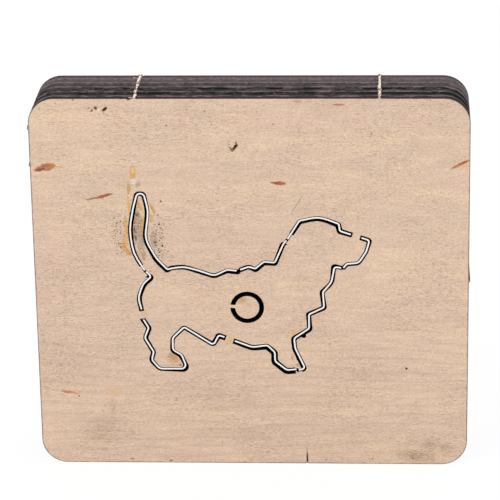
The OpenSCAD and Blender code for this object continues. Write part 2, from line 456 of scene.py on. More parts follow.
class Brush(Enum):
    """The shape of a mark: its length over its height, and how far its length turns up from x."""

    ROUND = (1.0, 0.0)
    OVAL = (1.9, 10.0)
    TALL = (0.36, 0.0)
    POST = (0.16, 3.0)
    LEAN = (0.24, 22.0)
    FLECK = (3.2, 13.0)
    SLIVER = (7.0, 9.0)
    FLAT = (6.5, -4.0)
    STREAK = (3.0, -6.0)
    SLANT = (3.6, -52.0)
    CLIMB = (8.0, 27.0)
    LONG_SCRATCH = (28.0, 58.6)
    SHORT_SCRATCH = (22.0, 33.4)
    GOUGE = (2.4, 40.0)
    DASH = (5.2, 16.0)

    @property
    def aspect(self) -> float:
        """Its length over its height."""
        return self.value[0]

    @property
    def turn(self) -> float:
        """How far its length turns up from x, in degrees."""
        return self.value[1]


@dataclass(frozen=True)
class Mark:
    """A stain, fleck, dot, scratch, painted shade or painted highlight on the board's back; size is
    half its height.
    """

    at: Pair
    size: float
    brush: Brush
    colour: Colour
    share: float = 0.85
    soft: float = 0.45


def spots(brush: Brush, colour: Colour, *rows: Sequence[float]) -> Iterable[Mark]:
    """Makes marks of one brush and colour, from rows of x, z, size and any share and softness."""
    for x, z, size, *rest in rows:
        yield Mark((x, z), size, brush, colour, *rest)


FLECK = paint(162, 74, 36)
FLECK_PALE = paint(212, 136, 86)
FLECK_BROWN = paint(112, 70, 56)
AMBER = paint(215, 158, 56)
AMBER_DEEP = paint(197, 138, 34)
AMBER_PALE = paint(236, 208, 164)
# Pale fibres in the gouges, whitish spots on the glue that partly stand for its painted highlight,
# and painted highlights on the dimple.
CHALK_AND_HIGHLIGHT = paint(238, 224, 216)
SMUDGE = paint(126, 106, 98)
GRIME = paint(70, 50, 40)
DIRT = paint(150, 124, 100)
STAIN = paint(190, 148, 100)
HONEY = paint(224, 178, 118)
SOOT = paint(40, 30, 26)
DOT = paint(92, 70, 56)
SCRATCH = paint(150, 116, 92)
# Painted shade: dark brown in the pits of the gouges and in the dimple's V.
PIT_SHADE = paint(46, 20, 6)
# Painted shade: the brown legs of the dimple's V and the soft shade on its left rim.
DIMPLE_SHADE = paint(104, 72, 44)
PRESSED = paint(226, 204, 184)

MINERAL_FLECKS = (
    *spots(Brush.OVAL, FLECK, (-46.2, 28.75, 1.15, 0.85)),
    *spots(Brush.FLECK, FLECK, (-47.3, 28.35, 0.75, 0.8)),
    *spots(Brush.DASH, FLECK, (-33.2, 21.8, 0.46, 0.95)),
    *spots(Brush.STREAK, FLECK, (6.8, 24.85, 0.62, 0.95), (11.1, 44.3, 0.45, 0.35)),
    *spots(Brush.FLAT, FLECK, (20.3, 43.55, 0.28, 0.7), (-43.6, -26.9, 0.34, 0.75)),
    *spots(Brush.CLIMB, FLECK, (47.8, 29.4, 0.4, 0.95)),
    *spots(Brush.ROUND, AMBER_DEEP, (-44.7, 28.95, 0.85, 0.85)),
    *spots(Brush.FLAT, AMBER_DEEP, (-43.2, 28.75, 0.2, 0.6)),
    *spots(Brush.FLECK, FLECK_BROWN, (-47.6, 28.1, 0.42, 0.75)),
    *spots(Brush.SLIVER, FLECK_BROWN, (-36.0, 21.1, 0.3, 0.75)),
    *spots(Brush.STREAK, FLECK_BROWN, (5.4, 25.0, 0.28, 0.8)),
    *spots(Brush.FLECK, HONEY, (48.0, 28.9, 0.9, 0.5, 0.9)),
    *spots(Brush.STREAK, HONEY, (-32.8, -26.7, 1.0, 0.5, 0.9)),
    *spots(Brush.FLAT, FLECK_PALE, (-42.0, -27.15, 0.3, 0.8)),
    *spots(Brush.STREAK, FLECK_PALE, (-10.86, 6.5, 0.26, 0.4)),
)
GLUE_MARKS = (
    *spots(Brush.TALL, AMBER,
        (-26.55, 27.4, 2.15, 0.92, 0.35), (-28.75, 10.8, 2.1, 0.8), (-22.6, 16.2, 1.4, 0.85),
        (-26.45, 16.2, 1.15, 0.85),
    ),
    *spots(Brush.POST, AMBER,
        (-27.75, 19.8, 2.8, 0.8), (-28.45, 13.4, 4.0, 0.8), (-24.6, 14.6, 3.2, 0.75),
    ),
    *spots(Brush.LEAN, AMBER, (-25.3, 19.4, 2.3, 0.9), (-25.5, 8.6, 1.3, 0.85)),
    *spots(Brush.TALL, AMBER_DEEP, (-27.6, 23.6, 1.5, 0.85)),
    *spots(Brush.SLANT, AMBER_DEEP, (-28.5, 8.5, 0.62, 0.9), (-29.6, 9.3, 0.5, 0.9)),
    *spots(Brush.LEAN, AMBER_DEEP, (-22.25, 18.6, 1.9, 0.85), (-24.8, 7.2, 1.0, 0.75)),
    *spots(Brush.ROUND, AMBER_DEEP, (-23.1, 3.45, 0.4, 0.7)),
    *spots(Brush.ROUND, FLECK, (-26.35, 12.9, 0.55, 0.7)),
    *spots(Brush.TALL, AMBER_PALE, (-26.5, 28.0, 1.2, 0.7)),
    *spots(Brush.LEAN, AMBER_PALE, (-24.85, 17.6, 1.4, 0.8)),
    # Whitish spots on the glue, partly painted highlight.
    *spots(Brush.ROUND, CHALK_AND_HIGHLIGHT, (-26.4, 25.2, 0.85, 0.6)),
    *spots(Brush.OVAL, CHALK_AND_HIGHLIGHT, (-26.2, 30.2, 0.45, 0.55)),
)
STAINS = (
    *spots(Brush.ROUND, SMUDGE,
        (-25.75, 17.3, 0.7, 0.6), (-26.2, 14.4, 0.7, 0.5), (-25.4, 24.6, 0.8, 0.4),
    ),
    *spots(Brush.POST, SMUDGE, (-25.3, 13.0, 9.5, 0.5, 0.7)),
    *spots(Brush.TALL, SMUDGE,
        (-26.4, 18.3, 1.6, 0.7), (-26.7, 12.6, 2.0, 0.7), (-24.6, 7.4, 1.8, 0.65),
        (-22.2, 11.2, 2.9, 0.45),
    ),
    *spots(Brush.STREAK, DIRT, (38.4, -42.9, 2.2, 0.6, 0.8)),
    *spots(Brush.ROUND, DIRT,
        (41.4, -40.3, 3.0, 0.4, 0.9), (45.0, -41.0, 2.6, 0.4, 0.9), (-35.2, -37.0, 5.5, 0.28, 0.95),
        (-18.9, -17.3, 1.1, 0.7, 0.95), (10.3, -16.2, 0.9, 0.7, 0.95),
    ),
    *spots(Brush.TALL, DIRT, (-33.0, -31.0, 4.0, 0.25, 0.9)),
    *spots(Brush.ROUND, STAIN, (-18.4, -18.4, 2.3, 0.9, 0.95)),
    *spots(Brush.OVAL, STAIN, (-2.4, -3.7, 1.35, 0.95, 0.95)),
    *spots(Brush.TALL, STAIN, (9.3, -18.0, 1.6, 0.8, 0.95)),
    *spots(Brush.TALL, HONEY, (3.75, -6.1, 1.6, 0.9, 0.95)),
    *spots(Brush.OVAL, HONEY, (-5.7, -7.6, 0.9, 0.6, 0.95), (-24.8, -6.7, 0.5, 0.6)),
    *spots(Brush.ROUND, HONEY, (-4.8, -13.75, 1.35, 0.8, 0.75), (9.6, -11.9, 1.5, 0.95, 0.95)),
    *spots(Brush.TALL, GRIME,
        (-26.4, 15.7, 0.85, 0.85, 0.6), (-26.5, 13.5, 0.9, 0.85, 0.6),
        (-26.3, 11.4, 0.8, 0.85, 0.6),
    ),
    *spots(Brush.ROUND, GRIME, (-25.9, 17.2, 0.6, 0.7, 0.8)),
    *spots(Brush.ROUND, FLECK, (10.5, -19.9, 0.5, 0.6)),
    *spots(Brush.FLECK, AMBER_PALE, (-33.0, 42.0, 0.9, 0.35)),
)
SCRATCHES = (
    *spots(Brush.LONG_SCRATCH, SCRATCH, (10.7, 19.65, 0.125, 0.65, 0.5)),
    *spots(Brush.SHORT_SCRATCH, SCRATCH, (32.2, 22.4, 0.11, 0.5, 0.5)),
)
DOTS = (
    *spots(Brush.ROUND, SOOT,
        (35.78, -20.67, 0.34, 0.95), (-20.35, 20.5, 0.29, 0.75), (-21.15, 17.06, 0.22, 0.6),
        (-20.85, 14.9, 0.26, 0.85), (-20.24, 9.63, 0.29, 0.85), (-20.95, 8.1, 0.26, 0.8),
        (-20.45, 8.45, 0.24, 0.8), (-19.0, 8.35, 0.22, 0.6), (-21.25, 6.75, 0.25, 0.6),
        (-21.75, 10.45, 0.27, 0.7),
    ),
    *spots(Brush.OVAL, SOOT, (-26.9, 45.0, 0.34, 0.95), (-28.6, 45.0, 0.24, 0.9)),
    *spots(Brush.ROUND, DOT,
        (-18.55, 38.6, 0.26, 0.8), (-9.8, 42.05, 0.23, 0.8), (-8.38, 38.95, 0.23, 0.75),
        (5.5, 38.95, 0.23, 0.8), (-40.9, -27.95, 0.25, 0.75), (44.97, -34.4, 0.22, 0.6),
        (32.0, -38.4, 0.25, 0.6), (27.87, -43.55, 0.26, 0.7), (16.96, -44.0, 0.28, 0.7),
        (25.9, -44.8, 0.33, 0.7), (37.4, -43.5, 0.28, 0.6), (-39.54, 44.66, 0.3, 0.6),
        (-28.2, 30.5, 0.25, 0.5), (-16.85, -20.0, 0.35, 0.6),
    ),
    *spots(Brush.TALL, DOT, (27.75, 36.7, 0.5, 0.6)),
    *spots(Brush.OVAL, DOT, (-28.8, -44.0, 0.3, 0.6), (-19.75, -44.45, 0.3, 0.6)),
    *spots(Brush.POST, DOT, (12.62, -43.4, 1.5, 0.9, 0.5)),
)
PEPPER = (
    *spots(Brush.TALL, SOOT,
        (-21.0, 11.5, 9.5, 1.0, 0.8), (-26.6, 14.5, 12.0, 0.8, 0.8), (-30.4, 13.0, 11.5, 0.95, 0.9),
    ),
)
# Gouges at the top left and the dimple: painted shade in their pits, pale fibres, and painted
# highlights.
GOUGE_AND_DIMPLE_SHADING = (
    # Painted shade in the pits of the gouges and in the dimple's V.
    *spots(Brush.GOUGE, PIT_SHADE,
        (-32.45, 42.45, 0.4, 0.95), (-36.15, 42.65, 0.2, 0.45), (-2.96, 33.7, 0.38, 1.0, 0.55),
        (-3.22, 33.3, 0.38, 0.9, 0.55), (-3.5, 32.95, 0.34, 0.6, 0.7),
    ),
    *spots(Brush.ROUND, PIT_SHADE, (-34.45, 42.75, 0.52, 0.8), (-32.65, 41.65, 0.26, 0.6)),
    *spots(Brush.OVAL, PIT_SHADE, (-35.35, 42.1, 0.24, 0.7)),
    *spots(Brush.FLECK, PIT_SHADE, (-32.05, 41.25, 0.16, 0.5), (-33.75, 41.3, 0.14, 0.45)),
    # Painted shade on the dimple's V and along its left rim.
    *spots(Brush.TALL, DIMPLE_SHADE, (-2.9, 34.35, 0.85, 0.8, 0.75)),
    *spots(Brush.SLANT, DIMPLE_SHADE, (-4.05, 33.05, 0.32, 0.75, 0.7)),
    *spots(Brush.ROUND, DIMPLE_SHADE,
        (-3.75, 32.6, 0.4, 0.6, 0.8), (-4.5, 34.9, 0.38, 0.35, 0.8), (-4.55, 34.2, 0.36, 0.4, 0.8),
    ),
    # Pale fibres in the gouges, and a painted highlight inside the dimple.
    *spots(Brush.ROUND, CHALK_AND_HIGHLIGHT,
        (-33.7, 42.3, 0.3, 0.8), (-34.85, 42.2, 0.22, 0.7), (-32.35, 41.9, 0.2, 0.7),
        (-3.71, 34.43, 0.45, 0.5, 0.8),
    ),
    # Painted highlight at the dimple's lower right.
    *spots(Brush.GOUGE, CHALK_AND_HIGHLIGHT, (-2.72, 32.85, 0.22, 0.75, 0.8)),
)
DENTS = (
    *spots(Brush.ROUND, PRESSED, (-3.5, 33.75, 1.7, 1.0, 0.1), (-33.9, 42.3, 2.4, 1.0, 0.1)),
)
CLEAN_LIPS = (
    *spots(Brush.ROUND, PRESSED, (-1.0, -5.5, 6.0, 1.0, 0.2), (16.5, -2.0, 9.5, 0.8, 0.2)),
    *spots(Brush.TALL, PRESSED, (-25.3, 14.0, 11.5, 0.85, 0.2)),
)
SMOOTH_BRUSHES = (Brush.LONG_SCRATCH, Brush.SHORT_SCRATCH)


@dataclass(frozen=True)
class BirchPly:
    """Sanded birch plywood with laser-charred edges and kerf walls; sizes are in millimetres."""

    pinkish: Colour = paint(214, 186, 165)
    plain: Colour = paint(218, 191, 168)
    yellowish: Colour = paint(225, 197, 170)
    pore: Colour = paint(168, 134, 110)
    rim: Colour = paint(128, 112, 104)
    char_light: Colour = paint(112, 101, 103)
    char_far: Colour = paint(80, 70, 72)
    char_near: Colour = paint(46, 37, 37)
    ember: Colour = paint(136, 104, 94)
    veneer: Colour = paint(52, 30, 20)
    # Painted shade: near black where voids open between the plies of the edge.
    void_shade: Colour = paint(8, 6, 6)
    kerf: Colour = paint(10, 7, 6)
    bare: Colour = paint(250, 234, 222)
    torn: Colour = paint(140, 92, 66)
    face_depth: float = 0.4
    dent_depth: float = 1.5
    clean_turn: float = 0.25
    edge_reach: float = 0.8
    stub_reach: float = 0.7
    ragged: float = 0.7
    relief: float = 0.12

    def material(self, stubs: Mapping[Edge, Sequence[float]]) -> bpy.types.Material:
        """Makes the board's material.

        Args:
            stubs: Where the stubs of the holding tabs are on each edge, in millimetres.

        Returns:
            The material.
        """
        bench = Bench("birch_plywood")
        x, y, z = bench.parts(bench.place)
        _, facing_y, _ = bench.facing()
        plain = {brush: bench.brush(brush, bench.place) for brush in (Brush.ROUND, Brush.TALL)}
        clean: Value | float = 0.0
        for lip in CLEAN_LIPS:
            clean = bench.dab(lip, plain[lip.brush]).most(clean)
        level = abs(facing_y) + self.clean_turn * clean * (y < 0)
        flat = level.rise(0.75, 0.95) * (abs(y) > BOARD.thickness / 2 - self.face_depth)
        dented = y < self.dent_depth - BOARD.thickness / 2
        for dent in DENTS:
            flat = (bench.dab(dent, plain[dent.brush]) * dented).most(flat)
        inset = self.distance_inside(x, z)
        grain, relief = self.face_grain(bench, z)
        marked, gloss = self.marks(bench, grain, y < 0, z, inset)
        edge, edge_relief = self.charred_edge(bench, x, y, z, stubs)
        wall = bench.mix(self.kerf, edge, inset < self.edge_reach)
        colour = bench.mix(wall, marked, flat)
        height = relief * flat + edge_relief * (1 - flat)
        bench.bump(height, self.relief * MM)
        rough = 0.72 - 0.34 * gloss * flat + 0.1 * (1 - flat)
        return bench.finish(Base_Color=colour, Roughness=rough, Specular_IOR_Level=0.12)

    def distance_inside(self, x: Value, z: Value) -> Value:
        """How far a point lies inside the board's outline.

        Args:
            x: Across the board.
            z: Up the board, from its middle.

        Returns:
            Millimetres from the outline.
        """
        across = abs(x) - (BOARD.width / 2 - BOARD.corner)
        up = abs(z) - (BOARD.height / 2 - BOARD.corner)
        round_part = (across.most(0.0) ** 2.0 + up.most(0.0) ** 2.0) ** 0.5
        return BOARD.corner - round_part - across.most(up).least(0.0)

    def face_grain(self, bench: Bench, z: Value) -> tuple[Socket, Value]:
        """The sanded veneer without its marks.

        Args:
            bench: The material's bench.
            z: Up the board, from its middle.

        Returns:
            Its colour and its relief.
        """
        cloud = bench.noise((0.025, 0.05, 0.1), 3.0, 0.65, 0.6)
        stops = ((0.3, self.pinkish), (0.5, self.plain), (0.68, self.yellowish))
        colour = bench.ramp(cloud, stops)
        flow = bench.noise((0.09, 0.1, 0.6), 3.0, 0.6, 0.8, (3, 1, 7))
        fine = bench.noise((1.8, 1.0, 4.0), 2.0, 0.65, 0.3, (11, 4, 2))
        dash = bench.noise((0.75, 1.0, 5.5), 1.0, 0.5, 0.2, (5, 9, 1))
        short = bench.noise((1.6, 1.0, 6.0), 1.0, 0.5, 0.4, (7, 2, 8))
        patch = bench.noise((0.06, 0.1, 0.09), 2.0, 0.5, 0.0, (1, 6, 3)).rise(0.38, 0.6)
        dark = dash.rise(0.56, 0.72) * (0.4 + 0.6 * patch)
        pits = short.rise(0.62, 0.74) * (0.3 + 0.7 * patch)
        pale = dash.rise(0.42, 0.26)
        lines = self.flow_lines(bench) * z.rise(0.0, -18.0)
        blotch = bench.noise((0.3, 0.2, 0.55), 2.0, 0.6, 0.5, (9, 9, 4))
        streak = bench.noise((0.14, 0.1, 2.4), 2.0, 0.6, 0.5, (4, 8, 6))
        level = 1.02 + 0.24 * (flow - 0.5) + 0.18 * (blotch - 0.5) + 0.82 * (fine - 0.5)
        level = level + 0.28 * (streak - 0.5) + 0.07 * pale - 0.02 * lines
        colour = bench.shaded(colour, level)
        colour = bench.mix(colour, self.pore, 0.5 * dark + 0.55 * pits + 0.08 * lines)
        relief = 0.3 * fine - 0.3 * dark - 0.3 * pits
        return colour, relief

    def flow_lines(self, bench: Bench) -> Value:
        """Thin wandering growth lines.

        Args:
            bench: The material's bench.

        Returns:
            Their share, from 0 to 1.
        """
        wave = bench.node(
            "ShaderNodeTexWave",
            {"wave_type": "BANDS", "bands_direction": "Z", "wave_profile": "SIN"},
            {
                "Vector": bench.mapped((0.3, 0.2, 1.0), (2, 3, 5)),
                "Scale": 0.13,
                "Distortion": 16.0,
                "Detail": 3.0,
                "Detail Scale": 0.4,
            },
        )
        return Value(bench, wave.outputs[1]).rise(0.72, 0.98)

    def marks(
        self, bench: Bench, wood: Socket, back: Value, z: Value, inset: Value
    ) -> tuple[Socket, Value]:
        """Lays the flecks, glue, stains, scratches and dots on the back, with the painted shade and
        highlights of the gouges and the dimple.

        Args:
            bench: The material's bench.
            wood: The bare veneer.
            back: 1 on the back half of the board.
            z: Up the board, from its middle.
            inset: Millimetres from the outline.

        Returns:
            The marked colour, and where glue makes it glossy.
        """
        stir = bench.node("ShaderNodeTexNoise", inputs={
            "Vector": bench.mapped((0.9, 0.9, 1.4)), "Scale": 1.0, "Detail": 3.0, "Roughness": 0.65,
        })
        moved = bench.vector("MULTIPLY_ADD", stir.outputs["Color"], (self.ragged,) * 3, bench.place)
        ragged = bench.vector("SUBTRACT", moved.outputs[0], (self.ragged / 2,) * 3).outputs[0]
        streaky = bench.noise((0.8, 0.5, 3.5), 2.0, 0.6, 0.3, (6, 6, 1)).rise(0.3, 0.6)
        places = {b: bench.brush(b, bench.place if b in SMOOTH_BRUSHES else ragged) for b in Brush}
        gloss: Value | float = 0.0
        colour = wood
        crackle = bench.noise((2.2, 1.0, 2.0), 2.0, 0.65, 0.3, (2, 5, 8)).rise(0.4, 0.56)
        for marks in (STAINS, MINERAL_FLECKS, GLUE_MARKS, SCRATCHES, DOTS, GOUGE_AND_DIMPLE_SHADING):
            for paint_colour in dict.fromkeys(mark.colour for mark in marks):
                share: Value | None = None
                for mark in (m for m in marks if m.colour == paint_colour):
                    one = bench.dab(mark, places[mark.brush])
                    share = one if share is None else share.most(one)
                share = share * back
                if marks is STAINS:
                    share = share * (0.35 + 0.65 * streaky)
                if marks is MINERAL_FLECKS:
                    share = share * (0.72 + 0.28 * streaky)
                if marks is GLUE_MARKS:
                    share = share * (0.4 + 0.6 * crackle)
                    gloss = share + gloss
                colour = bench.mix(colour, paint_colour, share)
        near: Value | float = 0.0
        for mark in PEPPER:
            near = bench.dab(mark, places[mark.brush]).most(near)
        specks = bench.noise((2.2, 1.0, 2.4), 2.0, 0.65, 0.0, (9, 3, 4))
        pepper = (specks + 0.16 * near).rise(0.68, 0.78) * near.rise(0.0, 0.2)
        colour = bench.mix(colour, SOOT, 0.85 * pepper * back)
        scorch = bench.noise((0.5, 0.2, 0.5), 2.0, 0.6)
        upper = z.rise(43.0, 44.6)
        burnt = (inset + 0.3 * (scorch - 0.5) + 0.16 * upper).rise(0.34, 0.1)
        colour = bench.mix(colour, self.rim, burnt * (0.8 - 0.45 * upper))
        return colour, gloss.clipped()

    def charred_edge(
        self, bench: Bench, x: Value, y: Value, z: Value, stubs: Mapping[Edge, Sequence[float]]
    ) -> tuple[Socket, Value]:
        """The laser-cut edge with its plies, the painted shade in its voids, and the snapped stubs.

        Args:
            bench: The material's bench.
            x: Across the board.
            y: Through the board, from its middle.
            z: Up the board, from its middle.
            stubs: Where the stubs are on each edge, in millimetres.

        Returns:
            The edge's colour and relief.
        """
        wander = bench.noise((0.09, 0.05, 0.09), 2.0, 0.5)
        fibre = bench.noise((0.9, 0.8, 0.9), 3.0, 0.7, 0.4, (2, 7, 4))
        # Painted shade: voids between the plies, drawn near black.
        void_shade_share = bench.noise((0.2, 0.55, 0.2), 3.0, 0.65, 0.3, (4, 1, 9)).rise(0.475, 0.495)
        ember = bench.noise((0.8, 0.9, 0.8), 2.0, 0.6, 0.0, (6, 1, 2)).rise(0.54, 0.68)
        ply = (y + (BOARD.thickness / 2 - BOARD.face_ply)) / BOARD.core_ply
        core = ply.rise(-0.05, 0.05) * ply.rise(BOARD.core_plies + 0.05, BOARD.core_plies - 0.05)
        ply = ply + 0.15 * (ply - 4.6).most(0.0) + 0.3 * (wander - 0.5) + 0.5 * (fibre - 0.5)
        phase = ply % 2.0
        light = phase.rise(0.1, 0.48) * phase.rise(1.02, 0.66)
        dark = bench.mix(self.char_near, self.char_far, ply.rise(0.5, 7.0))
        colour = bench.mix(dark, self.char_light, light)
        colour = bench.mix(colour, self.ember, ember * 0.4)
        colour = bench.shaded(colour, 2.2 * fibre - 0.13)
        colour = bench.mix(colour, self.void_shade, void_shade_share * ply.rise(7.5, 3.5) * (1 - 0.35 * light))
        colour = bench.mix(self.veneer, colour, core)
        snapped: Value | float = 0.0
        ragged = 1.1 * (bench.noise((0.9, 0.55, 0.9), 3.0, 0.7, 0.0, (3, 2, 1)) - 0.5)
        for edge, places in stubs.items():
            along, out = (x, z) if edge is Edge.TOP else (z, x * edge.value[0])
            limit = (BOARD.height if edge is Edge.TOP else BOARD.width) / 2 - self.stub_reach
            for place in places:
                width = abs(along - place) + ragged
                snapped = width.rise(0.34, 0.24) * (out > limit) + snapped
        snapped = snapped.clipped()
        tear = bench.noise((2.2, 0.5, 2.2), 2.0, 0.6, 0.3, (8, 8, 2))
        bare = bench.mix(self.bare, self.torn, tear.rise(0.48, 0.6) * 0.95)
        colour = bench.mix(colour, bare, snapped)
        relief = fibre * 0.8 + light * 0.3 + snapped * tear
        return colour, relief


@dataclass(frozen=True)
class RuleSteel:
    """Hardened steel strip: bright ground back and bevel, satin sides, near black from soot and
    painted shade where they sit in the board.
    """

    bright: Colour = (0.98, 0.98, 0.985, 1.0)
    satin: Colour = (0.62, 0.63, 0.65, 1.0)
    tarnish: Colour = (0.34, 0.29, 0.25, 1.0)
    soot_and_shade: Colour = (0.022, 0.018, 0.016, 1.0)
    bevel_from: float = 14.5
    back_to: float = -8.72

    def material(self) -> bpy.types.Material:
        """Makes the rule's material.

        Returns:
            The material.
        """
        bench = Bench("rule_steel")
        _, y, _ = bench.parts(bench.place)
        _, facing_y, _ = bench.facing()
        along = bench.noise((0.25, 26.0, 0.25), 2.0, 0.6)
        ground = bench.noise((14.0, 0.7, 14.0), 2.0, 0.6, 0.0, (1, 2, 3))
        dull = bench.noise((0.7, 0.9, 0.7), 3.0, 0.6, 0.4, (4, 4, 1)).rise(0.6, 0.74)
        bevel = y.rise(self.bevel_from - 0.05, self.bevel_from + 0.05)
        back = y.rise(self.back_to, self.back_to - 0.06) * facing_y.rise(-0.8, -0.95)
        # Where the rule's sides sit in the board they are painted near black: soot from the charred
        # slot, and painted shade of the narrow slot.
        in_board = y.rise(BOARD.thickness / 2 + 0.2, BOARD.thickness / 2 - 0.2) * (1 - back)
        polished = (bevel + back).clipped()
        colour = bench.mix(self.satin, self.bright, polished)
        colour = bench.shaded(colour, 0.86 + 0.28 * along)
        colour = bench.mix(colour, self.tarnish, dull * (0.55 - 0.4 * polished))
        colour = bench.mix(colour, self.soot_and_shade, in_board * 0.95)
        rough = 0.36 - 0.12 * polished + 0.18 * (along - 0.5) + 0.14 * dull + 0.3 * in_board
        height = along * (1 - bevel) + ground * bevel
        bench.bump(height, 0.01 * MM, 0.6)
        return bench.finish(Base_Color=colour, Roughness=rough, Metallic=1.0)


@dataclass(frozen=True)
class EjectionRubber:
    """Closed-cell ejection rubber with a fine skin and knife-cut sides."""

    body: Colour = (0.075, 0.180, 0.108, 1.0)
    dusty: Colour = (0.155, 0.270, 0.195, 1.0)
    pit: Colour = (0.030, 0.080, 0.048, 1.0)

    def material(self) -> bpy.types.Material:
        """Makes the rubber's material.

        Returns:
            The material.
        """
        bench = Bench("ejection_rubber")
        _, facing_y, _ = bench.facing()
        skin = facing_y.rise(0.6, 0.9)
        small = bench.cells((3.2, 3.2, 3.2))
        large = bench.cells((1.5, 1.5, 1.5), (3, 5, 2))
        cloud = bench.noise((0.12, 0.12, 0.12), 3.0, 0.6, 0.4)
        grit = bench.noise((4.0, 4.0, 4.0), 2.0, 0.6, 0.0, (1, 8, 5))
        pits = (small.rise(0.34, 0.12) * 0.7 + large.rise(0.24, 0.08)).clipped()
        pits = pits * (1 - 0.65 * skin)
        colour = bench.mix(self.body, self.dusty, cloud.rise(0.35, 0.7) * (0.25 + 0.25 * skin))
        colour = bench.shaded(colour, 0.82 + 0.36 * grit)
        colour = bench.mix(colour, self.pit, pits * 0.75)
        bench.bump(0.4 * grit - pits, 0.12 * MM, 0.8)
        rough = 0.86 - 0.08 * skin
        return bench.finish(Base_Color=colour, Roughness=rough, Specular_IOR_Level=0.25)


@dataclass(frozen=True)
class TornBirch:
    """Pale raw birch where a holding tab was snapped."""

    pale: Colour = paint(252, 238, 226)
    warm: Colour = paint(206, 150, 116)
    rusty: Colour = paint(178, 132, 112)
    burnt: Colour = paint(78, 50, 38)

    def material(self) -> bpy.types.Material:
        """Makes the splinters' material.

        Returns:
            The material.
        """
        bench = Bench("torn_birch")
        fibre = bench.noise((5.0, 0.5, 5.0), 3.0, 0.6)
        scorch = bench.noise((0.6, 0.45, 0.6), 2.0, 0.6, 0.3, (2, 2, 6))
        x, y, _ = bench.parts(bench.place)
        middle = y.rise(7.5, 4.5) * y.rise(-7.5, -4.5) * (x < 0)
        colour = bench.mix(self.pale, self.warm, fibre.rise(0.48, 0.7) * 0.7)
        colour = bench.mix(colour, self.rusty, middle * scorch.rise(0.36, 0.52) * 0.9)
        colour = bench.mix(colour, self.burnt, scorch.rise(0.46, 0.58) * 0.9)
        bench.bump(fibre, 0.04 * MM)
        rough = 0.7 + 0.15 * fibre
        return bench.finish(Base_Color=colour, Roughness=rough, Specular_IOR_Level=0.25)


def new_piece(name: str, bm: bmesh.types.BMesh, slot: str, smooth: bool) -> bpy.types.Object:
    """Turns a finished bmesh into a piece that rides on the die.

    Args:
        name: The piece's name.
        bm: Its mesh, in place, which is freed.
        slot: Not used.
        smooth: Whether its faces are shaded smooth.

    Returns:
        The piece.
    """
    mesh = bpy.data.meshes.new(name)
    for face in bm.faces:
        face.smooth = smooth
    bm.to_mesh(mesh)
    bm.free()
    piece = bpy.data.objects.new(name, mesh)
    bpy.context.scene.collection.objects.link(piece)
    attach(piece, BODY)
    return piece


def dress(piece: bpy.types.Object, material: bpy.types.Material) -> None:
    """Gives every face of a piece one finish."""
    piece.data.materials.clear()
    piece.data.materials.append(material)


def merged(node: str) -> bmesh.types.BMesh:
    """Copies a CAD node's mesh with its corners joined.

    Args:
        node: The node.

    Returns:
        The copy.
    """
    bm = bmesh.new()
    bm.from_mesh(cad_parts[node].data)
    bmesh.ops.remove_doubles(bm, verts=bm.verts, dist=0.001 * MM)
    return bm


def keep_in_box(bm: bmesh.types.BMesh, node: str) -> None:
    """Brings points that left a CAD node's box back to its sides.

    Args:
        bm: The mesh.
        node: The node.
    """
    low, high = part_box(node)
    for vert in bm.verts:
        for axis in range(3):
            vert.co[axis] = min(max(vert.co[axis], low[axis]), high[axis])


def eased(node: str, name: str, slot: str, width: float) -> bpy.types.Object:
    """Makes a piece in a CAD node's place whose sharp edges are broken by a small chamfer.

    Args:
        node: The node.
        name: The piece's name.
        slot: Not used; it is only passed on to new_piece.
        width: The chamfer's width in millimetres.

    Returns:
        The piece.
    """
    bm = merged(node)
    sharp = [edge for edge in bm.edges if edge.calc_face_angle(0.0) > SHARP]
    bmesh.ops.bevel(
        bm, geom=sharp, offset=width * MM, offset_type="OFFSET", affect="EDGES",
        segments=1, profile=0.5, material=-1, clamp_overlap=False,
    )
    keep_in_box(bm, node)
    for edge in bm.edges:
        edge.smooth = edge.calc_face_angle(0.0) < CREASE
    piece = new_piece(name, bm, slot, True)
    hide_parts(node)
    return piece


